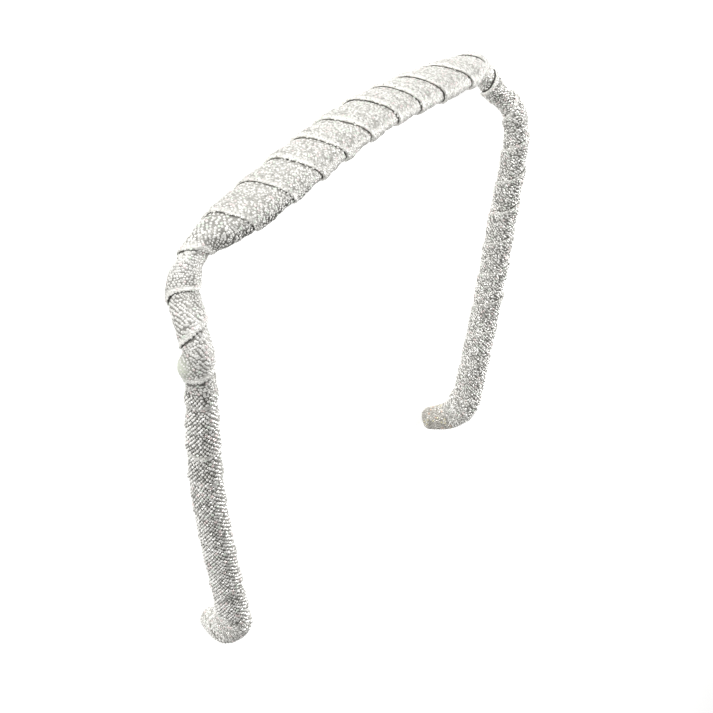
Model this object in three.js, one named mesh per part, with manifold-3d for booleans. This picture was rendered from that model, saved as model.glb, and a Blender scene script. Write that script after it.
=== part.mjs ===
import * as THREE from 'three';
import { mergeVertices } from 'three/addons/utils/BufferGeometryUtils.js';
import Module from 'manifold-3d';

// Glitter headband in the form of sunglasses pushed up on the head, lying on its back.
// Millimetres: x across the head, y from the tips to the crown, z up from the table.

// Right half of the centre line, from the middle of the crown to the tip. wide and thick are the
// finished section, and lean is the way its thin side faces outwards, in degrees from +x.
const STATIONS = [
  { place: 'crown middle', x: 0.0, y: 67.2, z: 7.2, wide: 14.2, thick: 7.4, lean: 90 },
  { place: 'crown end', x: 44.9, y: 62.4, z: 6.9, wide: 12.8, thick: 7.5, lean: 86 },
  { place: 'shoulder top', x: 59.6, y: 58.7, z: 5.0, wide: 5.6, thick: 6.8, lean: 80 },
  { place: 'shoulder turn', x: 66.5, y: 50.8, z: 6.1, wide: 7.8, thick: 6.3, lean: 62 },
  { place: 'leg top', x: 70.9, y: 38.8, z: 13.7, wide: 7.2, thick: 6.1, lean: 15 },
  { place: 'leg middle', x: 69.5, y: 5.3, z: 13.4, wide: 8.7, thick: 6.6, lean: -3 },
  { place: 'leg taper', x: 66.8, y: -16.9, z: 13.4, wide: 8.9, thick: 6.8, lean: -4 },
  { place: 'leg end', x: 60.6, y: -50.5, z: 13.4, wide: 9.3, thick: 7.0, lean: -5 },
  { place: 'hook bend', x: 59.0, y: -57.6, z: 12.6, wide: 10.3, thick: 7.6, lean: -5 },
  { place: 'hook middle', x: 58.4, y: -64.6, z: 8.4, wide: 8.6, thick: 6.8, lean: -5 },
  { place: 'hook tip', x: 55.0, y: -67.9, z: 0.7, wide: 6.6, thick: 6.4, lean: -5 },
];
const SECTION_POWER = 2.3; // roundness of the section: 2 is an ellipse, higher is squarer
const SIDES = 16;

const SEAT_GAP = 0.3; // between pieces that touch
const RIBBON_BASE = 1.0; // ribbon over the core where a turn is thinnest
const RIBBON_STEP = 0.7; // how far a turn's front hem stands over the turn that it laps
const RIBBON_COLUMNS = 3; // strips across the visible width of one turn

// Visible width of each turn, from the left tip to the right tip
const LEFT_LEG_TURN_WIDTHS = [10.9, 10.9, 10.9, 10.9, 10.9, 10.9, 9.9, 7.9, 8.2, 6.4, 10, 10.2, 9.2, 9.4];
const CROWN_TURN_WIDTHS = [14, 11, 10.5, 9, 12, 11.5, 9.5, 13.5, 16, 12.5];
const RIGHT_LEG_TURNS = 12;

// Pucker where the ribbon bunches at the back of the left leg
const PUCKER = { along: 112, around: 45, height: 1.3, reach: 4, spread: 45 };

const TIP_FOLD_LENGTH = 9; // of band covered by the ribbon's folded end
const TIP_WALL = 1.8; // folded ribbon over the core's end
// Rounded end of a tip: how far in from the end, and the share of the section there
const TIP_ROUNDING = [
  { inset: 0.0, share: 0.66 },
  { inset: 0.4, share: 0.86 },
  { inset: 1.1, share: 0.97 },
  { inset: 2.4, share: 1.0 },
];

const RING_STEP = 5.5; // between the rings of a plain tube
const CUT_SIZE = 200; // of the blocks that trim the ribbon

const wasm = await Module();
wasm.setup();

const mirrored = STATIONS.slice(1).reverse();
const halves = [
  ...mirrored.map((s) => ({ ...s, x: -s.x, lean: 180 - s.lean })),
  ...STATIONS,
];
const centreLine = new THREE.CatmullRomCurve3(
  halves.map((s) => new THREE.Vector3(s.x, s.y, s.z)), false, 'catmullrom', 0.5);
const sectionSizes = new THREE.CatmullRomCurve3(
  halves.map((s) => new THREE.Vector3(s.wide, s.thick, s.lean)), false, 'catmullrom', 0.5);
centreLine.arcLengthDivisions = 1000;
const bandLength = centreLine.getLength();

// Middle, axes and half sizes of the band at a distance from the left tip, straight on past its ends
function bandAt(distance) {
  const inside = THREE.MathUtils.clamp(distance, 0, bandLength);
  const t = centreLine.getUtoTmapping(0, inside);
  const along = centreLine.getTangent(t);
  const middle = centreLine.getPoint(t).addScaledVector(along, distance - inside);
  const size = sectionSizes.getPoint(t);
  const lean = THREE.MathUtils.degToRad(size.z);
  const outward = new THREE.Vector3(Math.cos(lean), Math.sin(lean), 0);
  outward.addScaledVector(along, -outward.dot(along)).normalize();
  const front = new THREE.Vector3().crossVectors(along, outward);
  return { middle, along, outward, front, halfWide: size.x / 2, halfThick: size.y / 2 };
}

const superCos = (angle) => Math.sign(Math.cos(angle)) * Math.abs(Math.cos(angle)) ** (2 / SECTION_POWER);
const superSin = (angle) => superCos(angle - Math.PI / 2);

// Point of the section: angle 0 is the back edge, a quarter turn on is the outer face
function sectionPoint(band, angle, share, lift) {
  const wide = (band.halfWide + lift) * share;
  const thick = (band.halfThick + lift) * share;
  return band.middle.clone()
    .addScaledVector(band.front, -wide * superCos(angle))
    .addScaledVector(band.outward, thick * superSin(angle));
}

const sideAngle = (side) => (2 * Math.PI * side) / SIDES;

function closedGeometry(points, triangles) {
  const geometry = new THREE.BufferGeometry();
  geometry.setAttribute('position', new THREE.Float32BufferAttribute(points.flatMap((p) => p.toArray()), 3));
  geometry.setIndex(triangles);
  return geometry;
}

// Closed tube through rings of the section, each with its own distance, share and lift
function tubeGeometry(rings) {
  const points = [];
  const triangles = [];
  for (const ring of rings) {
    const band = bandAt(ring.distance);
    for (let side = 0; side < SIDES; side += 1) {
      points.push(sectionPoint(band, sideAngle(side), ring.share, ring.lift));
    }
  }
  for (let ring = 0; ring + 1 < rings.length; ring += 1) {
    for (let side = 0; side < SIDES; side += 1) {
      const next = (side + 1) % SIDES;
      const here = ring * SIDES;
      const ahead = here + SIDES;
      triangles.push(here + side, here + next, ahead + next, here + side, ahead + next, ahead + side);
    }
  }
  const last = (rings.length - 1) * SIDES;
  for (let side = 1; side + 1 < SIDES; side += 1) {
    triangles.push(0, side + 1, side);
    triangles.push(last, last + side, last + side + 1);
  }
  return closedGeometry(points, triangles);
}

// Rings of the core from end to end; the hollow round it has the same ones, so that the gap is even
function coreRings(lift) {
  const from = TIP_WALL;
  const span = bandLength - 2 * TIP_WALL;
  const count = Math.ceil(span / RING_STEP);
  const rings = [];
  for (let i = 0; i <= count; i += 1) {
    rings.push({ distance: from + (span * i) / count, share: 1, lift });
  }
  return rings;
}

// Distance of the hem at each turn's start, with one spare turn before and after the trimmed ribbon
function turnStarts() {
  const chosen = [...LEFT_LEG_TURN_WIDTHS, ...CROWN_TURN_WIDTHS];
  const chosenLength = chosen.reduce((sum, width) => sum + width, 0);
  const rightTurn = (bandLength - 2 * TIP_FOLD_LENGTH - chosenLength) / RIGHT_LEG_TURNS;
  const widths = [chosen[0], ...chosen, ...Array(RIGHT_LEG_TURNS + 2).fill(rightTurn)];
  const starts = [TIP_FOLD_LENGTH - chosen[0]];
  for (const width of widths) {
    starts.push(starts[starts.length - 1] + width);
  }
  return starts;
}

function puckerLift(distance, angle) {
  const along = (distance - PUCKER.along) / PUCKER.reach;
  const around = (THREE.MathUtils.radToDeg(angle) - PUCKER.around) / PUCKER.spread;
  return PUCKER.height * Math.exp(-along * along - around * around);
}

// Solid outer form of the wound ribbon: one strip along a helix, whose back edge drops under the next
// turn's hem
function windingGeometry() {
  const starts = turnStarts();
  const columns = RIBBON_COLUMNS + 1;
  const rows = (starts.length - 2) * SIDES;
  const hemAt = (row) => {
    const turn = Math.floor(row / SIDES);
    const part = row / SIDES - turn;
    const width = turn + 1 < starts.length ? starts[turn + 1] - starts[turn] : 0;
    return starts[turn] + width * part;
  };
  const points = [];
  const triangles = [];
  for (let row = 0; row <= rows; row += 1) {
    const angle = sideAngle(row % SIDES);
    const hem = hemAt(row);
    const width = hemAt(row + SIDES) - hem;
    for (let column = 0; column < columns; column += 1) {
      const part = column / RIBBON_COLUMNS;
      const distance = hem + width * part;
      const lift = RIBBON_STEP * (0.5 - part) + puckerLift(distance, angle);
      points.push(sectionPoint(bandAt(distance), angle, 1, lift));
    }
  }
  const at = (row, column) => row * columns + column;
  const quad = (a, b, c, d) => triangles.push(a, b, c, a, c, d);
  for (let row = 0; row < rows; row += 1) {
    for (let column = 0; column < RIBBON_COLUMNS; column += 1) {
      quad(at(row, column), at(row + 1, column), at(row + 1, column + 1), at(row, column + 1));
    }
    if (row + SIDES < rows) {
      const under = RIBBON_COLUMNS;
      quad(at(row, under), at(row + 1, under), at(row + SIDES + 1, 0), at(row + SIDES, 0));
    }
  }
  const firstRim = [];
  const lastRim = [];
  for (let row = 0; row <= SIDES; row += 1) {
    firstRim.push(at(row, 0));
    lastRim.push(at(rows - row, RIBBON_COLUMNS));
  }
  for (let column = RIBBON_COLUMNS; column > 0; column -= 1) {
    firstRim.push(at(0, column));
    lastRim.push(at(rows, RIBBON_COLUMNS - column));
  }
  for (const [rim, distance] of [[firstRim, hemAt(0)], [lastRim, hemAt(rows + SIDES)]]) {
    points.push(bandAt(distance).middle);
    const centre = points.length - 1;
    rim.forEach((corner, i) => triangles.push(centre, rim[(i + 1) % rim.length], corner));
  }
  return closedGeometry(points, triangles);
}

function solidOf(geometry) {
  const bare = geometry.clone();
  bare.deleteAttribute('normal');
  bare.deleteAttribute('uv');
  const merged = mergeVertices(bare, 1e-5);
  return new wasm.Manifold(new wasm.Mesh({
    numProp: 3,
    vertProperties: new Float32Array(merged.attributes.position.array),
    triVerts: new Uint32Array(merged.index.array),
  }));
}

function geometryOf(solid) {
  const mesh = solid.getMesh();
  const geometry = new THREE.BufferGeometry();
  geometry.setAttribute('position', new THREE.BufferAttribute(new Float32Array(mesh.vertProperties), 3));
  geometry.setIndex(new THREE.BufferAttribute(new Uint32Array(mesh.triVerts), 1));
  geometry.computeVertexNormals();
  return geometry;
}

// Block on the far side of the band's section at a distance; way is -1 towards the left tip, 1 the right
function endBlock(distance, way) {
  const band = bandAt(distance);
  const block = new THREE.BoxGeometry(CUT_SIZE, CUT_SIZE, CUT_SIZE / 2);
  const axes = new THREE.Matrix4().makeBasis(band.front, band.outward, band.along.clone().negate());
  const centre = band.middle.clone().addScaledVector(band.along, (way * CUT_SIZE) / 4);
  return solidOf(block.applyMatrix4(axes.setPosition(centre)));
}

const table = solidOf(new THREE.BoxGeometry(CUT_SIZE, CUT_SIZE, CUT_SIZE).translate(0, 0, -CUT_SIZE / 2));
const hollowLift = -(RIBBON_BASE + RIBBON_STEP / 2);
const hollow = solidOf(tubeGeometry([
  { distance: TIP_WALL - SEAT_GAP, share: 1, lift: hollowLift },
  ...coreRings(hollowLift),
  { distance: bandLength - TIP_WALL + SEAT_GAP, share: 1, lift: hollowLift },
]));

function coreBand() {
  return solidOf(tubeGeometry(coreRings(hollowLift - SEAT_GAP)));
}

function ribbonWrap() {
  return solidOf(windingGeometry())
    .subtract(endBlock(TIP_FOLD_LENGTH, -1))
    .subtract(endBlock(bandLength - TIP_FOLD_LENGTH, 1))
    .subtract(hollow)
    .subtract(table);
}

// Cap of folded ribbon over one end of the core; the right one counts distances from the right tip
function tipFold(onRight) {
  const mouth = { inset: TIP_FOLD_LENGTH - SEAT_GAP, share: 1 };
  const rings = [...TIP_ROUNDING, mouth].map(({ inset, share }) => {
    const distance = onRight ? bandLength - inset : inset;
    return { distance, share, lift: 0 };
  });
  const outside = tubeGeometry(onRight ? rings.reverse() : rings);
  return solidOf(outside).subtract(hollow).subtract(table);
}

const glitterRibbon = new THREE.MeshStandardMaterial({ color: 0xd3d2cd, roughness: 0.35, metalness: 0.6 });
const tipRibbon = new THREE.MeshStandardMaterial({ color: 0xdedcd6, roughness: 0.4, metalness: 0.5 });
const corePlastic = new THREE.MeshStandardMaterial({ color: 0xb8b8b4, roughness: 0.5, metalness: 0 });

const headband = new THREE.Group();
const pieces = [
  { name: 'core_band', solid: coreBand(), material: corePlastic },
  { name: 'ribbon_wrap', solid: ribbonWrap(), material: glitterRibbon },
  { name: 'tip_fold_left', solid: tipFold(false), material: tipRibbon },
  { name: 'tip_fold_right', solid: tipFold(true), material: tipRibbon },
];
for (const { name, solid, material } of pieces) {
  const mesh = new THREE.Mesh(geometryOf(solid), material);
  mesh.name = name;
  headband.add(mesh);
}

export default headband;
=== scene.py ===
import math

import bmesh
import bpy
import numpy as np
from mathutils import Matrix, Vector


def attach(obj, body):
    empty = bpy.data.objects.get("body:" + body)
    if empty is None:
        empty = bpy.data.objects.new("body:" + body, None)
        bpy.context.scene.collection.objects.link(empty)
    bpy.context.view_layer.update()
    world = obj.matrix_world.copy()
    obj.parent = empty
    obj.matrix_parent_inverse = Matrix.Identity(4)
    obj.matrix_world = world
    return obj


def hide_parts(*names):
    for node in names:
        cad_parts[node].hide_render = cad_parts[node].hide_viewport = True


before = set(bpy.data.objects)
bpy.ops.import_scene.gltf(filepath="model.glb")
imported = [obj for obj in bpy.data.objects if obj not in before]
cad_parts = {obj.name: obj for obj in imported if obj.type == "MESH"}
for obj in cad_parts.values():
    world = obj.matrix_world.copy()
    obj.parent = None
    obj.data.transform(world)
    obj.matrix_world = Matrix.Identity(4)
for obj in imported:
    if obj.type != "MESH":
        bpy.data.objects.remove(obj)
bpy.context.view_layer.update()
print("frame loaded:", ", ".join(sorted(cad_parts)))

mm = 0.001
fullTurn = 2 * math.pi

# the band as it lies on its back, in millimetres: right half of its centre line, crown to tip
band = {
    "stations": [
        # x, y, z, wide, thick, and the way the thin side faces in degrees from +x
        (0.0, 67.2, 7.2, 14.2, 7.4, 90),  # crown middle
        (44.9, 62.4, 6.9, 12.8, 7.5, 86),  # crown end
        (59.6, 58.7, 5.0, 5.6, 6.8, 80),  # shoulder top
        (66.5, 50.8, 6.1, 7.8, 6.3, 62),  # shoulder turn
        (70.9, 38.8, 13.7, 7.2, 6.1, 15),  # leg top
        (69.5, 5.3, 13.4, 8.7, 6.6, -3),  # leg middle
        (66.8, -16.9, 13.4, 8.9, 6.8, -4),  # leg taper
        (60.6, -50.5, 13.4, 9.3, 7.0, -5),  # leg end
        (59.0, -57.6, 12.6, 10.3, 7.6, -5),  # hook bend
        (58.4, -64.6, 8.4, 8.6, 6.8, -5),  # hook middle
        (55.0, -67.9, 0.7, 6.6, 6.4, -5),  # hook tip
    ],
    "sectionPower": 2.3,  # 2 is an ellipse, higher is squarer
    "samplesPerSpan": 60,
    "roundSamples": 180,
    "coreDepth": 1.35,  # from the finished face down to the hollow round the core
    "tableClear": 0.25,  # the cloth is pressed flat this far off the table, on its grains
}


def throughStations(rows, steps):
    # uniform Catmull-Rom spline that runs straight on at both ends
    padded = np.vstack([2 * rows[0] - rows[1], rows, 2 * rows[-1] - rows[-2]])
    t = np.linspace(0, 1, steps, endpoint=False)[:, None]
    spans = []
    for a, b, c, d in zip(padded, padded[1:], padded[2:], padded[3:]):
        bend = (2 * a - 5 * b + 4 * c - d) + t * (3 * b - a - 3 * c + d)
        spans.append(b + 0.5 * t * ((c - a) + t * bend))
    return np.vstack(spans + [rows[-1:]])


def unit(vectors):
    return vectors / np.linalg.norm(vectors, axis=-1, keepdims=True)


def measureBand():
    right = np.array(band["stations"], float)
    left = right[:0:-1] * [-1, 1, 1, 1, 1, -1] + [0, 0, 0, 0, 0, 180]
    line = throughStations(np.vstack([left, right]), band["samplesPerSpan"])
    middle = line[:, :3]
    along = unit(np.gradient(middle, axis=0))
    lean = np.radians(line[:, 5])
    outward = np.stack([np.cos(lean), np.sin(lean), 0 * lean], axis=1)
    outward = unit(outward - along * (along * outward).sum(axis=1, keepdims=True))
    steps = np.linalg.norm(np.diff(middle, axis=0), axis=1)
    return {
        "distance": np.concatenate([[0], np.cumsum(steps)]),
        "columns": np.hstack([middle, along, outward, np.cross(along, outward), line[:, 3:5] / 2]),
    }


bandLine = measureBand()
bandLength = bandLine["distance"][-1]


def bandAt(distance):
    # middle, along, outward, front and half sizes at distances from the left tip
    inside = np.clip(distance, 0, bandLength)
    columns = [np.interp(inside, bandLine["distance"], column) for column in bandLine["columns"].T]
    at = np.stack(columns, axis=-1)
    along, outward, front = (unit(at[..., k : k + 3]) for k in (3, 6, 9))
    middle = at[..., 0:3] + at[..., 3:6] * (distance - inside)[..., None]
    return middle, along, outward, front, at[..., 12], at[..., 13]


def onBand(distance, angle, lift, share=1.0):
    # points and normals of the finished face, raised by lift
    # angle 0 is the back edge, and a quarter turn the outer face
    given = map(np.asarray, (distance, angle, lift, share))
    distance, angle, lift, share = np.broadcast_arrays(*given)
    middle, _, outward, front, halfWide, halfThick = bandAt(distance.astype(float))
    power = 2 / band["sectionPower"]
    c, s = np.cos(angle), np.sin(angle)
    wide, thick = (halfWide + lift) * share, (halfThick + lift) * share
    toBack, toOut = np.sign(c) * np.abs(c) ** power, np.sign(s) * np.abs(s) ** power
    point = middle - front * (wide * toBack)[..., None] + outward * (thick * toOut)[..., None]
    slopeBack = np.sign(c) * np.abs(c) ** (2 - power) / wide
    slopeOut = np.sign(s) * np.abs(s) ** (2 - power) / thick
    normal = unit(-front * slopeBack[..., None] + outward * slopeOut[..., None])
    return point, normal


def offTable(points, clear):
    points[..., 2] = np.maximum(points[..., 2], clear)
    return points


def perimeterAt(distance):
    # angles and running lengths round the section, to space things evenly
    samples = band["roundSamples"] + 1
    angle = np.linspace(0, fullTurn, samples)
    point = onBand(np.full(samples, distance), angle, 0.0)[0]
    run = np.concatenate([[0], np.cumsum(np.linalg.norm(np.diff(point, axis=0), axis=1))])
    return angle, run


# the winding of the ribbon: visible width of each turn, left tip to right tip
winding = {
    "tipLength": 9.0,  # of band under each folded end
    "leftLegTurnWidths": [
        10.9, 10.9, 10.9, 10.9, 10.9, 10.9, 9.9, 7.9, 8.2, 6.4, 10, 10.2, 9.2, 9.4,
    ],
    "crownTurnWidths": [14, 11, 10.5, 9, 12, 11.5, 9.5, 13.5, 16, 12.5],
    "rightLegTurns": 12,
    "spareTurns": 2,  # hidden under each folded end
    "sway": 0.35,  # how far a hem wanders from its helix
    "swayWaves": 3,
    # how much flatter each turn's hem crosses the seen face of a leg than an even helix would
    "leftLegEase": [0.4, 0.4, 0.4, 0.4, 0.4, 0.4, 0.5, 0.5, 0.5, 0.5, 0.5, -0.3, 0.75, 0.3],
    "rightLegEase": 0.4,
    "easeAngle": 120,  # degrees round the section where it is flattest
    # how far each turn's hem stands out: 0 is pressed flat, and past 1 it keeps more ribbon bare
    "leftLegHems": [0.1, 0.1, 0.15, 0.1, 0.2, 0.2, 0.35, 1.1, 0.2, 0.35, 1.4, 1.15, 1.1, 0.9],
    "crownHems": [0.8, 0.6, 0.9, 1, 1, 1, 1, 1, 1, 1],
    "rightLegHems": [1.1, 1.15, 0.7, 0.5, 0.5, 0.6, 0.4, 0.4, 0.4, 0.3, 0.2, 0.1],
    "spareHem": 0.1,
    "leastHem": 0.35,  # share of its height that a hem keeps where it is pressed flat
    # under a folded end: how far inside it the ribbon is fully sunk, over what length, how deep
    "sinkInset": 0.8,
    "sinkReach": 1.2,
    "sinkDepth": 1.0,
    "seed": 4,
}


def turnStarts():
    tip, spare = winding["tipLength"], winding["spareTurns"]
    shown = winding["leftLegTurnWidths"] + winding["crownTurnWidths"]
    rightTurn = (bandLength - 2 * tip - sum(shown)) / winding["rightLegTurns"]
    widths = [shown[0]] * spare + shown + [rightTurn] * (winding["rightLegTurns"] + spare + 1)
    return np.concatenate([[0], np.cumsum(widths)]) + tip - spare * shown[0]


starts = turnStarts()
turnCount = len(starts) - 1
hems = [winding["spareHem"]] * winding["spareTurns"] + winding["leftLegHems"]
hems += winding["crownHems"] + winding["rightLegHems"]
hems += [winding["spareHem"]] * (turnCount + 1 - len(hems))
eases = winding["leftLegEase"][:1] * winding["spareTurns"] + winding["leftLegEase"]
eases += [0] * (len(winding["crownTurnWidths"]) + 1)
eases += [winding["rightLegEase"]] * (turnCount + 1 - len(eases))
swayPhases = np.random.default_rng(winding["seed"]).uniform(
    0, fullTurn, (winding["swayWaves"], turnCount + 2))


def hemAt(turn):
    # distance of the hem at a count of turns, whole turns at the back edge, wandering a little
    part = turn - np.floor(turn)
    flatAt = math.radians(winding["easeAngle"])
    ease = np.interp(turn, np.arange(turnCount + 1), eases)
    eased = turn - ease * np.sin(fullTurn * part - flatAt) / fullTurn
    helix = np.interp(eased, np.arange(turnCount + 1), starts)
    swing = 0
    for wave, phases in enumerate(swayPhases):
        reach = np.interp(turn, np.arange(turnCount + 2), np.cos(phases))
        swing = swing + reach * np.sin(fullTurn * part * (wave + 1) + wave)
    return helix + winding["sway"] / 2 * swing


def hemStand(turn):
    return np.interp(turn, np.arange(turnCount + 1), hems)


def hemHeight(turn):
    least = winding["leastHem"]
    return least + (1 - least) * np.minimum(hemStand(turn), 1)


def underTips(distance, lift):
    # lets the ribbon sink below the folded ends
    inset = np.minimum(distance, bandLength - distance)
    shown = (inset - winding["tipLength"] + winding["sinkInset"]) / winding["sinkReach"]
    shown = np.clip(shown, 0, 1)
    shown = shown * shown * (3 - 2 * shown)
    return lift * shown - winding["sinkDepth"] * (1 - shown)


ribbon = {
    "sides": 72,
    "spanColumns": 10,
    "innerRings": 90,
    # across the hem from where it turns under: distance from the fold, rise over the finished face
    "hemProfile": [
        (0.5, -0.46), (0.14, -0.36), (0.0, -0.12), (0.08, 0.1),
        (0.25, 0.26), (0.45, 0.32), (0.65, 0.3),
    ],
    "foldColumn": 2,  # of that profile
    "tuck": 0.35,  # how far a turn runs on under the next hem
    "tuckDepth": -0.48,
    "spanPower": 1.15,  # how late a turn dips towards the next hem
    "ripple": 0.12,  # height of the slack in the cloth
    # its lumps and wrinkles, in radians per millimetre of band
    "lumpRate": 0.83,
    "lumpDrift": 0.21,
    "wrinkleRate": 1.9,
    "wrinkleShare": 0.6,
    "pucker": {"along": 112.8, "around": 58, "height": 1.4, "reach": 3.0, "spread": 40},
    "puckerTone": 1.8,  # how strongly the pucker's pale grey-green tone shows, and from what share of it
    "puckerFloor": 0.3,
    "endClear": 1.2,  # stops short of the band's ends
    "weld": 0.001,
}


def patchShare(patch, distance, angle):
    # 1 in the middle of a patch of the band's face, fading over its reach along and spread around
    around = (np.degrees(angle) - patch["around"]) / patch["spread"]
    return np.exp(-(((distance - patch["along"]) / patch["reach"]) ** 2) - around**2)


def puckerShare(distance, angle):
    return patchShare(ribbon["pucker"], distance, angle)


def slackAt(distance, angle):
    # soft lumps of the wound cloth and the pucker at the back of the left leg
    lumps = np.sin(distance * ribbon["lumpRate"] + 2 * np.sin(angle))
    lumps = lumps * np.cos(2 * angle + distance * ribbon["lumpDrift"])
    wrinkles = np.sin(distance * ribbon["wrinkleRate"] - 3 * angle)
    slack = ribbon["ripple"] * (lumps + ribbon["wrinkleShare"] * wrinkles)
    return slack + ribbon["pucker"]["height"] * puckerShare(distance, angle)


# painted shade: share of the darker ground tone painted between the grains, most on the legs,
# standing in for the shade that falls between them
paintedGroundShade = {
    # distance from the left tip, share of the painted-shade tone: little round the hook, most along
    # the leg to the pucker
    "left": [
        (16, 0.25), (24, 0.92), (105, 0.92), (112, 0.6), (120, 0.55), (146, 0.45),
        (152, 0.15), (185, 0.08), (205, 0.0),
    ],
    # the same from the right tip
    "right": [(16, 0.35), (24, 0.68), (133, 0.68), (137, 0.0)],
    # less painted shade on the front edge of the left leg, a painted lit side: how much, and
    # degrees round the section
    "frontPaintedLight": 0.85,
    "frontAngle": 215,
    "frontSpread": 45,
    # painted shade again on the underside of the left shoulder
    "underShoulder": {"along": 159, "around": 203, "reach": 13, "spread": 36},
    "underStrength": 1.8,
}


def frontShare(angle):
    # 1 on the front edge of the band, where the grains lie less in line and the left leg's ground
    # gets less painted shade
    return np.exp(-(((np.degrees(angle) - paintedGroundShade["frontAngle"]) / paintedGroundShade["frontSpread"]) ** 2))


def paintedGroundShadeAt(distance, angle):
    left = np.interp(distance, *zip(*paintedGroundShade["left"]))
    left = left * (1 - paintedGroundShade["frontPaintedLight"] * frontShare(angle))
    right = np.interp(bandLength - distance, *zip(*paintedGroundShade["right"]))
    under = paintedGroundShade["underStrength"] * patchShare(paintedGroundShade["underShoulder"], distance, angle)
    return np.clip(left + right + under, 0, 1)


def spanLift(high, nextHigh, part):
    # height of a turn's face from the end of its hem, part 0, to its tuck under the next, part 1
    start = high * ribbon["hemProfile"][-1][1]
    return start + (nextHigh * ribbon["tuckDepth"] - start) * part ** ribbon["spanPower"]


def newObject(name, mesh):
    piece = bpy.data.objects.new(name, mesh)
    bpy.context.scene.collection.objects.link(piece)
    return piece


def smoothObject(name, bm):
    bmesh.ops.recalc_face_normals(bm, faces=bm.faces)
    for face in bm.faces:
        face.smooth = True
    mesh = bpy.data.meshes.new(name)
    bm.to_mesh(mesh)
    bm.free()
    return newObject(name, mesh)


def gridFaces(rows, columns, closed):
    faces = []
    for row in range(rows - 1):
        for column in range(columns if closed else columns - 1):
            after = (column + 1) % columns
            faces.append((row * columns + column, row * columns + after,
                          (row + 1) * columns + after, (row + 1) * columns + column))
    return faces


def makeRibbon():
    sides, spans, fold = ribbon["sides"], ribbon["spanColumns"], ribbon["foldColumn"]
    rows = (turnCount - 1) * sides + 1
    turn = np.arange(rows) / sides
    angle = fullTurn * (turn % 1)
    hem, nextHem = hemAt(turn), hemAt(turn + 1)
    hemEnd = ribbon["hemProfile"][-1][0]
    high, nextHigh = hemHeight(turn), hemHeight(turn + 1)
    columns = [(hem + offset, high * rise) for offset, rise in ribbon["hemProfile"]]
    for step in range(1, spans + 1):
        part = step / spans
        columns.append((hem + hemEnd + (nextHem + ribbon["tuck"] - hem - hemEnd) * part,
                        spanLift(high, nextHigh, part)))
    width = len(columns)
    distance = np.stack([c[0] for c in columns], axis=1)
    lift = np.stack([c[1] for c in columns], axis=1) + slackAt(distance, angle[:, None])
    first, end = ribbon["endClear"], bandLength - ribbon["endClear"]
    # a turn that only laps past an end stops there, so that the wall stays closed
    distance[nextHem <= first] = first
    distance[hem <= first, : fold + 1] = first
    distance[hem + hemEnd >= end] = end
    atEnd = (distance <= first) | (distance >= end)
    lift = np.where(atEnd, -winding["sinkDepth"], underTips(distance, lift))
    distance = np.clip(distance, first, end)
    points = offTable(onBand(distance, angle[:, None], lift)[0], band["tableClear"])

    # painted highlight: the hem's columns are marked for a white tone, standing in for light on the
    # raised edge
    hemHighlightShare = np.zeros((rows, width))
    hemHighlightShare[:, fold : len(ribbon["hemProfile"])] = hemStand(turn)[:, None]
    # painted shade: the fold of each hem and the tuck under the next are marked for a dark crevice
    # colour
    paintedCreviceShadeShare = np.zeros((rows, width))
    paintedCreviceShadeShare[:, :fold] = hemStand(turn)[:, None]
    paintedCreviceShadeShare[:, -1] = hemStand(turn + 1)
    puckered = ribbon["puckerTone"] * puckerShare(distance, angle[:, None]) - ribbon["puckerFloor"]
    shares = {
        "hem": hemHighlightShare,
        "paintedCreviceShade": paintedCreviceShadeShare,
        "paintedGroundShade": paintedGroundShadeAt(distance, angle[:, None]),
        "pucker": np.clip(puckered, 0, 1),
    }
    faces = [tuple(reversed(f)) for f in gridFaces(rows, width, False)]
    for row in range(rows - sides - 1):  # down the crevice to the next turn's hem
        tucked, nextFold = (row + 1) * width - 1, (row + sides) * width
        faces.append((tucked, tucked + width, nextFold + width, nextFold))

    bm = bmesh.new()
    layers = [bm.verts.layers.float.new(name) for name in shares]
    verts = [bm.verts.new(p) for p in points.reshape(-1, 3) * mm]
    for vert, values in zip(verts, np.stack([*shares.values()], axis=-1).reshape(len(verts), -1)):
        for layer, value in zip(layers, values):
            vert[layer] = value
    for face in faces:
        bm.faces.new([verts[i] for i in face])
    # inner wall round the core, joined to the outer face at both ends
    rings = ribbon["innerRings"]
    innerAngle = fullTurn * np.arange(sides) / sides
    innerDistance = np.linspace(first, end, rings)[:, None]
    inner = onBand(innerDistance, innerAngle[None, :], -band["coreDepth"])[0]
    innerVerts = [bm.verts.new(p) for p in inner.reshape(-1, 3) * mm]
    for face in gridFaces(rings, sides, True):
        bm.faces.new([innerVerts[i] for i in reversed(face)])
    bmesh.ops.remove_doubles(bm, verts=bm.verts, dist=ribbon["weld"] * mm)
    bmesh.ops.dissolve_degenerate(bm, edges=bm.edges, dist=ribbon["weld"] * mm)
    rims = [edge for edge in bm.edges if edge.is_boundary]
    middleX = [sum(v.co.x for v in edge.verts) for edge in rims]
    for side in (-1, 1):
        bmesh.ops.bridge_loops(bm, edges=[e for e, x in zip(rims, middleX) if x * side > 0])
    return smoothObject("glitterRibbonWrap", bm)


ribbonWrap = makeRibbon()
print("ribbon wound:", turnCount, "turns,", len(ribbonWrap.data.polygons), "faces")

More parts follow.
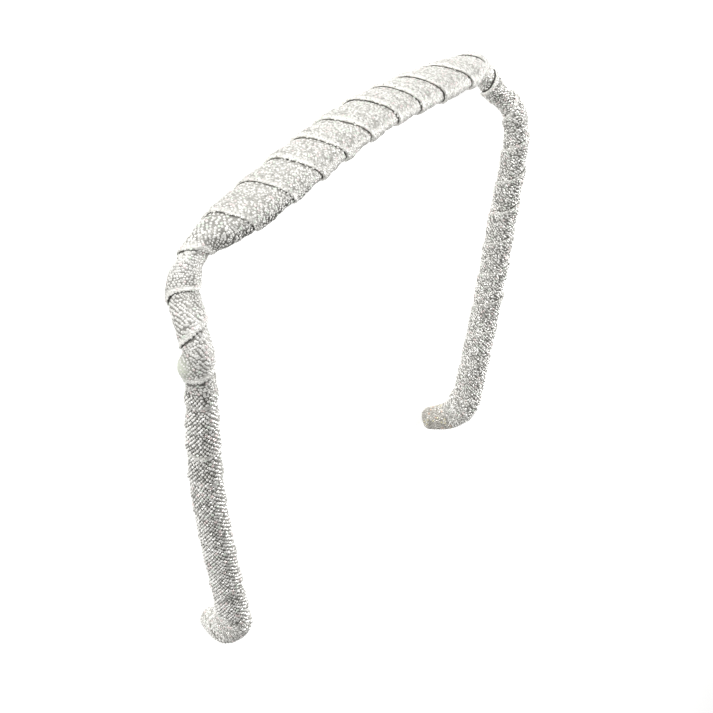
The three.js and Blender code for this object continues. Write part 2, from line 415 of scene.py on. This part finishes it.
tipFold = {
    "sides": 48,
    # from the end of the tip: how far in, share of the section, rise over the finished face
    "profile": [
        (0.0, 0.3, 0.0), (0.05, 0.55, 0.0), (0.25, 0.76, 0.0), (0.7, 0.91, 0.05),
        (1.4, 0.99, 0.1), (2.4, 1.0, 0.14), (3.6, 1.0, 0.14), (5.0, 1.0, 0.14),
        (6.4, 1.0, 0.14), (7.8, 1.0, 0.12), (8.8, 1.0, 0.1), (9.3, 1.0, 0.08),
        (9.55, 1.0, 0.04), (9.65, 1.0, -0.06), (9.6, 1.0, -0.18), (9.4, 1.0, -0.3),
    ],
    "faceRings": 12,  # of that profile, before its edge turns under
    "pocket": [9.2, 6.0, 3.0, 1.5],  # rings of the hollow, by how far in they lie
    "pleats": 5,  # folds gathered into the end
    "pleatDepth": 0.16,
    "pleatPower": 0.6,  # under 1 makes the folds narrow
    "pleatReach": 5.5,
}


def pleatLift(inset, angle, rise):
    # the gathered folds run out with the distance from the end
    gather = tipFold["pleatDepth"] * np.maximum(0.0, 1 - inset / tipFold["pleatReach"])
    return rise - gather * np.abs(np.sin(tipFold["pleats"] * angle / 2)) ** tipFold["pleatPower"]


def makeTipFold(name, onRight):
    sides = tipFold["sides"]
    angle = fullTurn * np.arange(sides) / sides
    clear = band["tableClear"]
    rings = [(inset, share, pleatLift(inset, angle, rise), clear)
             for inset, share, rise in tipFold["profile"]]
    rings += [(inset, 1.0, -band["coreDepth"], 2 * clear) for inset in tipFold["pocket"]]
    bm = bmesh.new()
    verts = []
    for inset, share, lift, ringClear in rings:
        distance = bandLength - inset if onRight else inset
        points = offTable(onBand(np.full(sides, distance), angle, lift, share)[0], ringClear)
        verts.append([bm.verts.new(p * mm) for p in points])
    for ring, after in zip(verts, verts[1:]):
        for side in range(sides):
            nextSide = (side + 1) % sides
            bm.faces.new((ring[side], ring[nextSide], after[nextSide], after[side]))
    for ring in (verts[0], verts[-1]):
        bm.faces.new(ring)
    return smoothObject(name, bm)


tipLeft = makeTipFold("tipFoldLeft", False)
tipRight = makeTipFold("tipFoldRight", True)
print("tips folded")

# glitter grains: the ribbon's metallic yarn shows as a diamond grid of small bright beads
grains = {
    "sink": 0.06,  # below the cloth's face
    "hemInset": 0.15,  # first row, from the fold of the hem
    "hemSamples": 24,  # round a turn, to find its widest place
    # bare strip beside the next hem: by how far that stands out, less its lap, more past 1
    "bareShare": 0.3,
    "bareLap": 0.1,
    "bareMore": 2.2,
    # fewer grains where a patch's share passes a number drawn between these
    "puckerThin": (0.5, 1.5),
    "shoulderThin": (0.4, 2.0),
    # bigger where a bend opens the rows: half the length it is measured on, least and most
    "swellHalf": 0.5,
    "swellLimits": (0.8, 1.5),
    # degrees round the left leg where the twill's diagonal turns over, and how softly
    "twillTurn": 170,
    "twillEase": 12,
    # least height of a grain's middle off the table, as a share of its height
    "tableShare": 0.72,
    "tipTableShare": 0.65,
    "hookEnd": 22,  # where each zone of grains ends, from the nearer tip
    "leftLegEnd": 106,
    "upperLegEnd": 146,
    "rightLegEnd": 138,
    "tipGap": 0.7,  # bare ribbon beside a folded end
    "tipFirst": 0.5,  # first row and last on a folded end, and the fewest grains in one
    "tipLast": 9.4,
    "tipFewest": 6,
    "seed": 11,
}
# pitch is along the ribbon and rowStep across it, every other row half a pitch on; tilt is in
# radians, frontLoose is how much more the grains stray on the front edge, and lean turns their
# long side to the twill's diagonal, in degrees
leftLegGrains = {
    "pitch": 1.02, "rowStep": 0.67, "length": 0.98, "width": 0.76, "height": 0.56,
    "jitter": 0.04, "tilt": 0.25, "spread": 0.12, "frontLoose": 1.5, "lean": 52,
}
upperLegGrains = {
    "pitch": 0.76, "rowStep": 0.56, "length": 0.72, "width": 0.7, "height": 0.36,
    "jitter": 0.1, "tilt": 0.16, "spread": 0.1, "frontLoose": 0.5, "lean": 0,
}
crownGrains = {
    "pitch": 0.72, "rowStep": 0.47, "length": 0.68, "width": 0.64, "height": 0.34,
    "jitter": 0.15, "tilt": 0.17, "spread": 0.15, "frontLoose": 0, "lean": 0,
}
rightLegGrains = {
    "pitch": 0.76, "rowStep": 0.5, "length": 0.69, "width": 0.65, "height": 0.52,
    "jitter": 0.12, "tilt": 0.3, "spread": 0.15, "frontLoose": 0, "lean": 0,
}
tipGrains = {
    "pitch": 0.88, "rowStep": 0.58, "length": 0.79, "width": 0.77, "height": 0.52,
    "jitter": 0.08, "tilt": 0.25, "spread": 0.12, "frontLoose": 0, "lean": 0,
}


def liftAt(turn, distance):
    # height of the ribbon's face between its hem and the next
    hem, nextHem = hemAt(turn), hemAt(turn + 1)
    hemEnd = ribbon["hemProfile"][-1][0]
    high, nextHigh = hemHeight(turn), hemHeight(turn + 1)
    part = (distance - hem - hemEnd) / (nextHem + ribbon["tuck"] - hem - hemEnd)
    span = spanLift(high, nextHigh, np.clip(part, 0, 1))
    offsets, rises = zip(*ribbon["hemProfile"][ribbon["foldColumn"] :])
    return np.where(distance < hem + hemEnd, high * np.interp(distance - hem, offsets, rises), span)


def ribbonBed(fromDistance, toDistance, sizes, random):
    # staggered places for grains on the part of the ribbon between two distances
    places = []
    for whole in range(turnCount - 1):
        centre = (starts[whole] + starts[whole + 1]) / 2
        angles, run = perimeterAt(np.clip(centre, 0, bandLength))
        count = round(run[-1] / sizes["pitch"])
        around = whole + np.linspace(0, 1, grains["hemSamples"])
        rowCount = int(np.max(hemAt(around + 1) - hemAt(around)) / sizes["rowStep"]) + 1
        for row in range(rowCount):
            share = (np.arange(count) + 0.5 * (row % 2)) / count
            paleGround = sizes["frontLoose"] * frontShare(np.interp(share % 1 * run[-1], run, angles))
            jitter = sizes["jitter"] * (1 + paleGround)
            share = share + random.normal(0, 1, count) * jitter / run[-1]
            angle = np.interp(share % 1 * run[-1], run, angles)
            turn = whole + angle / fullTurn
            hem, nextHem = hemAt(turn), hemAt(turn + 1)
            stray = random.normal(0, 1, count) * jitter
            distance = hem + grains["hemInset"] + row * sizes["rowStep"] + stray
            stand = hemStand(turn + 1)
            bare = grains["bareShare"] * stand - grains["bareLap"]
            bare = bare + grains["bareMore"] * np.maximum(0, stand - 1)
            keep = distance < nextHem - bare
            keep &= (distance >= fromDistance) & (distance < toDistance)
            puckered = puckerShare(distance, angle)
            keep &= puckered < random.uniform(*grains["puckerThin"], count)
            # fewer grains under the left shoulder, so that more of the painted-shade ground shows
            # there
            shaded = patchShare(paintedGroundShade["underShoulder"], distance, angle)
            keep &= shaded < random.uniform(*grains["shoulderThin"], count)
            places.append(np.stack([distance, angle, turn], axis=1)[keep])
    distance, angle, turn = np.vstack(places).T
    lift = liftAt(turn, distance) + slackAt(distance, angle) - grains["sink"]
    points, normals = onBand(distance, angle, underTips(distance, lift))
    points = offTable(points, grains["tableShare"] * sizes["height"])
    before = onBand(distance - grains["swellHalf"], angle, lift)[0]
    after = onBand(distance + grains["swellHalf"], angle, lift)[0]
    swell = np.clip(np.linalg.norm(after - before, axis=1), *grains["swellLimits"])
    along = bandAt(distance)[1]
    across = np.cross(along, normals)
    # grains lie along the twill's diagonal, one way on the outer face and the other on the front
    side = np.tanh((grains["twillTurn"] - np.degrees(angle)) / grains["twillEase"])
    lean = (np.radians(sizes["lean"]) * side)[:, None]
    return points, normals, across * np.cos(lean) + along * np.sin(lean), swell


def tipBed(onRight, random):
    # the same on a folded end, in rings from its tip
    insets, shares, rises = np.array(tipFold["profile"][: tipFold["faceRings"]]).T
    first, step = grains["tipFirst"], tipGrains["rowStep"]
    places = []
    for row in range(int((grains["tipLast"] - first) / step) + 1):
        inset = first + row * step
        angles, run = perimeterAt(bandLength - inset if onRight else inset)
        ring = run[-1] * np.interp(inset, insets, shares)
        count = max(grains["tipFewest"], round(ring / tipGrains["pitch"]))
        at = (np.arange(count) + 0.5 * (row % 2)) / count
        at = at + random.normal(0, tipGrains["jitter"] / run[-1], count)
        angle = np.interp(at % 1 * run[-1], run, angles)
        places.append(np.stack([np.full(count, inset), angle], axis=1))
    inset, angle = np.vstack(places).T
    share = np.interp(inset, insets, shares)
    lift = pleatLift(inset, angle, np.interp(inset, insets, rises)) - grains["sink"]
    distance = bandLength - inset if onRight else inset
    points, normals = onBand(distance, angle, lift, share)
    points = offTable(points, grains["tipTableShare"] * tipGrains["height"])
    return points, normals, np.cross(bandAt(distance)[1], normals), np.ones(len(points))


def addNode(tree, kind, settings=None, **inputs):
    # one node with its settings; an input, by name or by i and its number, is a value or a socket
    node = tree.nodes.new(kind)
    for name, value in (settings or {}).items():
        setattr(node, name, value)
    for name, value in inputs.items():
        numbered = name[0] == "i" and name[1:].isdigit()
        socket = node.inputs[int(name[1:]) if numbered else name.replace("_", " ")]
        if isinstance(value, bpy.types.NodeSocket):
            tree.links.new(value, socket)
        else:
            socket.default_value = value
    return node


def addMath(tree, operation, first, second):
    return addNode(tree, "ShaderNodeMath", {"operation": operation}, i0=first, i1=second).outputs[0]


def addNamed(tree, name, dataType):
    kind = "GeometryNodeInputNamedAttribute"
    return addNode(tree, kind, {"data_type": dataType}, Name=name).outputs[0]


def grainTree():
    # one faceted grain on each point of a bed, facing out, with a number of its own for the finish
    tree = bpy.data.node_groups.new("glitterGrains", "GeometryNodeTree")
    interface = tree.interface
    interface.new_socket("Bed", in_out="INPUT", socket_type="NodeSocketGeometry")
    for name in ("Length", "Width", "Height", "Tilt", "Size Spread"):
        interface.new_socket(name, in_out="INPUT", socket_type="NodeSocketFloat")
    interface.new_socket("Seed", in_out="INPUT", socket_type="NodeSocketInt")
    interface.new_socket("Finish", in_out="INPUT", socket_type="NodeSocketMaterial")
    interface.new_socket("Grains", in_out="OUTPUT", socket_type="NodeSocketGeometry")
    given = tree.nodes.new("NodeGroupInput").outputs
    bead = addNode(tree, "GeometryNodeMeshIcoSphere", Radius=0.5, Subdivisions=1)
    turn = addNode(tree, "FunctionNodeAxesToRotation", {"primary_axis": "Z", "secondary_axis": "X"},
                   i0=addNamed(tree, "facing", "FLOAT_VECTOR"),
                   i1=addNamed(tree, "grain", "FLOAT_VECTOR"))
    lowTilt = addMath(tree, "MULTIPLY", given["Tilt"], -1.0)
    low = addNode(tree, "ShaderNodeCombineXYZ", i0=lowTilt, i1=lowTilt, i2=-0.5)
    high = addNode(tree, "ShaderNodeCombineXYZ", i0=given["Tilt"], i1=given["Tilt"], i2=0.5)
    lean = addNode(tree, "FunctionNodeRandomValue", {"data_type": "FLOAT_VECTOR"},
                   i0=low.outputs[0], i1=high.outputs[0], Seed=given["Seed"])
    leanTurn = addNode(tree, "FunctionNodeEulerToRotation", i0=lean.outputs[0])
    turned = addNode(tree, "FunctionNodeRotateRotation", {"rotation_space": "LOCAL"},
                     i0=turn.outputs[0], i1=leanTurn.outputs[0])
    smallest = addMath(tree, "SUBTRACT", 1.0, given["Size Spread"])
    largest = addMath(tree, "ADD", 1.0, given["Size Spread"])
    size = addNode(tree, "FunctionNodeRandomValue", {"data_type": "FLOAT"},
                   i2=smallest, i3=largest, Seed=given["Seed"])
    form = addNode(tree, "ShaderNodeCombineXYZ",
                   i0=given["Length"], i1=given["Width"], i2=given["Height"])
    grown = addMath(tree, "MULTIPLY", size.outputs[1], addNamed(tree, "swell", "FLOAT"))
    sized = addNode(tree, "ShaderNodeVectorMath", {"operation": "SCALE"},
                    i0=form.outputs[0], Scale=grown)
    points = addNode(tree, "GeometryNodeMeshToPoints", Mesh=given["Bed"])
    placed = addNode(tree, "GeometryNodeInstanceOnPoints",
                     Points=points.outputs[0], Instance=bead.outputs[0],
                     Rotation=turned.outputs[0], Scale=sized.outputs[0])
    number = addNode(tree, "FunctionNodeRandomValue", {"data_type": "FLOAT"},
                     i2=0.0, i3=1.0, Seed=given["Seed"])
    marked = addNode(tree, "GeometryNodeStoreNamedAttribute",
                     {"data_type": "FLOAT", "domain": "INSTANCE"},
                     Geometry=placed.outputs[0], Name="sparkle", Value=number.outputs[1])
    real = addNode(tree, "GeometryNodeRealizeInstances", Geometry=marked.outputs[0])
    flat = addNode(tree, "GeometryNodeSetShadeSmooth", Geometry=real.outputs[0], Shade_Smooth=False)
    finished = addNode(tree, "GeometryNodeSetMaterial",
                       Geometry=flat.outputs[0], Material=given["Finish"])
    out = tree.nodes.new("NodeGroupOutput")
    tree.links.new(finished.outputs[0], out.inputs["Grains"])
    return tree


def makeGrains(name, bed, sizes, material, tree, seed):
    points, facing, along, swell = bed
    mesh = bpy.data.meshes.new(name + "Bed")
    mesh.from_pydata(points * mm, [], [])
    for label, vectors in (("facing", facing), ("grain", along)):
        attribute = mesh.attributes.new(label, "FLOAT_VECTOR", "POINT")
        attribute.data.foreach_set("vector", np.ascontiguousarray(vectors, np.float32).ravel())
    attribute = mesh.attributes.new("swell", "FLOAT", "POINT")
    attribute.data.foreach_set("value", swell.astype(np.float32))
    holder = newObject(name + "Bed", mesh)
    modifier = holder.modifiers.new("grains", "NODES")
    modifier.node_group = tree
    values = {
        "Length": sizes["length"] * mm,
        "Width": sizes["width"] * mm,
        "Height": sizes["height"] * mm,
        "Tilt": sizes["tilt"],
        "Size Spread": sizes["spread"],
        "Seed": seed,
        "Finish": material,
    }
    for socket in tree.interface.items_tree:
        if socket.name in values:
            modifier[socket.identifier] = values[socket.name]
    graph = bpy.context.evaluated_depsgraph_get()
    made = bpy.data.meshes.new_from_object(holder.evaluated_get(graph))
    made.name = name
    bpy.data.objects.remove(holder)
    print(name, "grains:", len(points), "triangles:", len(made.polygons))
    return newObject(name, made)


def linear(hexColour):
    channels = [int(hexColour[i : i + 2], 16) / 255 for i in (1, 3, 5)]
    return [c / 12.92 if c <= 0.04045 else ((c + 0.055) / 1.055) ** 2.4 for c in channels] + [1.0]


def newMaterial(name):
    material = bpy.data.materials.new(name)
    material.use_nodes = True
    tree = material.node_tree
    return material, tree, tree.nodes["Principled BSDF"]


def mixColours(tree, share, first, second):
    # each colour is a hex text or a socket
    given = [linear(colour) if isinstance(colour, str) else colour for colour in (first, second)]
    settings = {"data_type": "RGBA"}
    return addNode(tree, "ShaderNodeMix", settings, i0=share, i6=given[0], i7=given[1]).outputs[2]


def finishSurface(tree, shader, colour, height, look):
    bump = addNode(tree, "ShaderNodeBump", Height=height, Strength=look["bumpStrength"],
                   Distance=look["bumpHeight"] * mm)
    tree.links.new(colour, shader.inputs["Base Color"])
    tree.links.new(bump.outputs["Normal"], shader.inputs["Normal"])
    shader.inputs["Roughness"].default_value = look["rough"]
    shader.inputs["Metallic"].default_value = look["metal"]


def objectPlace(tree):
    return addNode(tree, "ShaderNodeTexCoord").outputs["Object"]


def addWeave(tree, place, look):
    # distance from the middle of the nearest thread, and the same as a share of its tone
    weave = addNode(tree, "ShaderNodeTexVoronoi", {"feature": "F1"},
                    Vector=place, Scale=1 / (look["thread"] * mm))
    tone = addNode(tree, "ShaderNodeMapRange", Value=weave.outputs["Distance"],
                   From_Max=look["threadEdge"])
    return weave.outputs["Distance"], tone.outputs["Result"]


# tones from a grain's own number, the last two pink and green; roughness from sharpest to dullest
films = {
    "soft": {
        "tones": [(0.0, "#9f9e9a"), (0.14, "#c6c5c1"), (0.32, "#dbdad6"), (0.62, "#e8e7e3"),
                  (0.93, "#e2d6d4"), (0.965, "#d6ded3")],
        "metal": 0.3, "rough": (0.36, 0.56),
    },
    "mild": {
        "tones": [(0.0, "#d2d1cd"), (0.2, "#dddcd8"), (0.6, "#e6e5e1"),
                  (0.93, "#e2d6d4"), (0.965, "#d6ded3")],
        "metal": 0.3, "rough": (0.36, 0.56),
    },
    "bright": {
        "tones": [(0.0, "#c9c8c4"), (0.22, "#e6e5e0"), (0.5, "#f6f5f1"), (0.8, "#fffefb"),
                  (0.93, "#efe2df"), (0.965, "#e3eae0")],
        "metal": 0.55, "rough": (0.22, 0.42),
    },
    # the right tip glints copper and gold instead
    "warm": {
        "tones": [(0.0, "#aca8a1"), (0.22, "#c6c2bb"), (0.5, "#d8d5ce"), (0.8, "#e4e1da"),
                  (0.92, "#dcc3b4"), (0.965, "#d8d2b6")],
        "metal": 0.55, "rough": (0.22, 0.42),
    },
}


def silverGrain(kind):
    # vacuum-metallised film cut into grains: bright silver facets, a few with a tint
    look = films[kind]
    material, tree, shader = newMaterial(kind + "FilmGrain")
    mark = addNode(tree, "ShaderNodeAttribute", {"attribute_name": "sparkle"}).outputs["Fac"]
    ramp = addNode(tree, "ShaderNodeValToRGB", Fac=mark)
    ramp.color_ramp.interpolation = "CONSTANT"
    elements = ramp.color_ramp.elements
    for index, (place, colour) in enumerate(look["tones"]):
        stop = elements[index] if index < 2 else elements.new(place)
        stop.position = place
        stop.color = linear(colour)
    sharpest, dullest = look["rough"]
    rough = addNode(tree, "ShaderNodeMapRange", Value=mark, To_Min=sharpest, To_Max=dullest)
    tree.links.new(ramp.outputs["Color"], shader.inputs["Base Color"])
    tree.links.new(rough.outputs["Result"], shader.inputs["Roughness"])
    shader.inputs["Metallic"].default_value = look["metal"]
    return material


clothLook = {
    "thread": 0.3,
    "threadEdge": 0.6,
    # ground tones: a pale one, and a darker copy painted as the shade between the grains
    "paleGround": ("#d1cfc9", "#b4b2ac"),
    "shadedGround": ("#6c6a64", "#3a3834"),
    "selvageHighlight": "#e9e8e2",
    "pucker": "#ccd0c2",
    "paintedCreviceShade": "#3a3936",
    "crumb": 1.3,  # size of the breaks in the line of painted crevice shade
    "crumbRange": (0.38, 0.6),
    "paintedCreviceShadeLeast": 0.2,
    "bumpStrength": 0.6, "bumpHeight": 0.08, "rough": 0.45, "metal": 0.3,
}


def ribbonCloth():
    # woven metallic-yarn ribbon: grey ground between the grains, darkened with painted shade on the
    # legs and under the left shoulder, a white hem painted as a highlight on the raised selvage,
    # and a broken line of painted shade in the crevice
    material, tree, shader = newMaterial("metallicYarnRibbon")
    place = objectPlace(tree)
    depth, tone = addWeave(tree, place, clothLook)
    share = {
        name: addNode(tree, "ShaderNodeAttribute", {"attribute_name": name}).outputs["Fac"]
        for name in ("paintedGroundShade", "hem", "pucker", "paintedCreviceShade")
    }
    # painted shade: the ground turns to its darker tone where the painted-shade share is high
    colour = mixColours(tree, share["paintedGroundShade"], mixColours(tree, tone, *clothLook["paleGround"]),
                        mixColours(tree, tone, *clothLook["shadedGround"]))
    # painted highlight along the raised hem, where the selvage catches light
    colour = mixColours(tree, share["hem"], colour, clothLook["selvageHighlight"])
    colour = mixColours(tree, share["pucker"], colour, clothLook["pucker"])
    # painted shade in the crevice under each hem, broken by noise, on top of the real shadow of the
    # step
    crumbs = addNode(tree, "ShaderNodeTexNoise", Vector=place,
                     Scale=1 / (clothLook["crumb"] * mm), Detail=1.0)
    fewest, most = clothLook["crumbRange"]
    gaps = addNode(tree, "ShaderNodeMapRange", Value=crumbs.outputs["Fac"],
                   From_Min=fewest, From_Max=most, To_Min=clothLook["paintedCreviceShadeLeast"])
    dotted = addMath(tree, "MULTIPLY", share["paintedCreviceShade"], gaps.outputs["Result"])
    colour = mixColours(tree, dotted, colour, clothLook["paintedCreviceShade"])
    finishSurface(tree, shader, colour, depth, clothLook)
    return material


tipLook = {
    "thread": 0.35,
    "threadEdge": 0.6,
    "tones": ("#c9c7c0", "#98968f"),
    "bumpStrength": 0.4, "bumpHeight": 0.06, "rough": 0.4, "metal": 0.3,
}


def tipCloth():
    # the same ribbon pressed and glued flat: paler and smoother
    material, tree, shader = newMaterial("gluedRibbonEnd")
    depth, tone = addWeave(tree, objectPlace(tree), tipLook)
    finishSurface(tree, shader, mixColours(tree, tone, *tipLook["tones"]), depth, tipLook)
    return material


coreLook = {
    "mottle": 6,
    "tones": ("#b2b2ae", "#bebeba"),
    "bumpStrength": 0.1, "bumpHeight": 0.1, "rough": 0.5, "metal": 0.0,
}


def corePlastic():
    # injection-moulded ABS, hidden by the ribbon: satin, with a faint sink-mark mottle
    material, tree, shader = newMaterial("mouldedAbs")
    mottle = addNode(tree, "ShaderNodeTexNoise", Vector=objectPlace(tree),
                     Scale=1 / (coreLook["mottle"] * mm), Detail=3.0).outputs["Fac"]
    finishSurface(tree, shader, mixColours(tree, mottle, *coreLook["tones"]), mottle, coreLook)
    return material


film = {kind: silverGrain(kind) for kind in films}
gluedEnd = tipCloth()
ribbonWrap.data.materials.append(ribbonCloth())
tipLeft.data.materials.append(gluedEnd)
tipRight.data.materials.append(gluedEnd)
plastic = corePlastic()
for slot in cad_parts["core_band"].material_slots:
    slot.material = plastic
print("materials made")

random = np.random.default_rng(grains["seed"])
tree = grainTree()
bedStart = winding["tipLength"] + grains["tipGap"]
bedEnd = bandLength - winding["tipLength"] - grains["tipGap"]
leftHook, pucker, crownStart = grains["hookEnd"], grains["leftLegEnd"], grains["upperLegEnd"]
crownEnd = bandLength - grains["rightLegEnd"]
grainPieces = [
    makeGrains(name, ribbonBed(first, end, sizes, random), sizes, film[kind], tree, seed)
    for name, first, end, sizes, kind, seed in [
        ("leftHookGrains", bedStart, leftHook, tipGrains, "bright", 7),
        ("leftLegGrains", leftHook, pucker, leftLegGrains, "bright", 1),
        ("upperLegGrains", pucker, crownStart, upperLegGrains, "mild", 8),
        ("crownLeftGrains", crownStart, bandLength / 2, crownGrains, "soft", 2),
        ("crownRightGrains", bandLength / 2, crownEnd, crownGrains, "soft", 3),
        ("rightLegGrains", crownEnd, bedEnd, rightLegGrains, "bright", 6),
    ]
]
tipGrainPieces = [
    makeGrains("leftTipGrains", tipBed(False, random), tipGrains, film["bright"], tree, 4),
    makeGrains("rightTipGrains", tipBed(True, random), tipGrains, film["warm"], tree, 5),
]

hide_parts("ribbon_wrap")
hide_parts("tip_fold_left")
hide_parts("tip_fold_right")
for piece in [ribbonWrap, *grainPieces]:
    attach(piece, "root")
for piece in [tipLeft, tipRight, *tipGrainPieces]:
    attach(piece, "root")
print("pieces ride on the band")

studio = {
    "floorSize": 6.0,
    "floorColour": "#c4c4c2",
    "floorRough": 0.9,
    "floorGlow": 0.75,  # lit from below, as on a light table
    "worldStrength": 0.3,
    # name, place, aim, width and height in metres, watts
    "lights": [
        ("keySoftbox", (-0.42, 1.1, 0.28), (0.0, 0.02, 0.01), 0.6, 0.4, 10.2),
        ("sideSoftbox", (0.45, -0.05, 0.48), (0.02, 0.0, 0.01), 0.4, 0.4, 3.9),
    ],
}


def faceAlong(location, aim, up=(0, 0, 1)):
    back = (Vector(location) - Vector(aim)).normalized()
    right = Vector(up).cross(back).normalized()
    place = Matrix((right, back.cross(right), back)).transposed().to_4x4()
    place.translation = location
    return place


def makeStudio():
    half = studio["floorSize"] / 2
    corners = [(-half, -half, 0), (half, -half, 0), (half, half, 0), (-half, half, 0)]
    mesh = bpy.data.meshes.new("floor")
    mesh.from_pydata(corners, [], [(0, 1, 2, 3)])
    floor = newObject("floor", mesh)
    material, _, shader = newMaterial("mattPaper")
    shader.inputs["Base Color"].default_value = linear(studio["floorColour"])
    shader.inputs["Roughness"].default_value = studio["floorRough"]
    shader.inputs["Emission Color"].default_value = linear("#ffffff")
    shader.inputs["Emission Strength"].default_value = studio["floorGlow"]
    floor.data.materials.append(material)
    for name, location, aim, width, height, watts in studio["lights"]:
        light = bpy.data.lights.new(name, "AREA")
        light.shape = "RECTANGLE"
        light.size, light.size_y, light.energy = width, height, watts
        newObject(name, light).matrix_world = faceAlong(location, aim)
    world = bpy.data.worlds.new("studio")
    world.use_nodes = True
    background = world.node_tree.nodes["Background"]
    background.inputs["Color"].default_value = linear("#ffffff")
    background.inputs["Strength"].default_value = studio["worldStrength"]
    bpy.context.scene.world = world
    bpy.context.scene.view_settings.view_transform = "Standard"


# the photograph's view: front of the headband, turned so that the crown is at the picture's top
view = {
    "location": (-263.0, 232.5, 183.4),
    "aim": (-2.1, -3.5, 10.6),
    "up": (0.469, 0.801, -0.371),
    "lens": 72.0,
    "sensorWidth": 36.0,
    "nearest": 0.01,  # metres
    "furthest": 20.0,
}


def makeCamera():
    data = bpy.data.cameras.new("camera")
    data.lens, data.sensor_width = view["lens"], view["sensorWidth"]
    data.clip_start, data.clip_end = view["nearest"], view["furthest"]
    camera = newObject("camera", data)
    location, aim = Vector(view["location"]) * mm, Vector(view["aim"]) * mm
    camera.matrix_world = faceAlong(location, aim, view["up"])
    bpy.context.scene.camera = camera


makeStudio()
makeCamera()
print("studio and camera set")
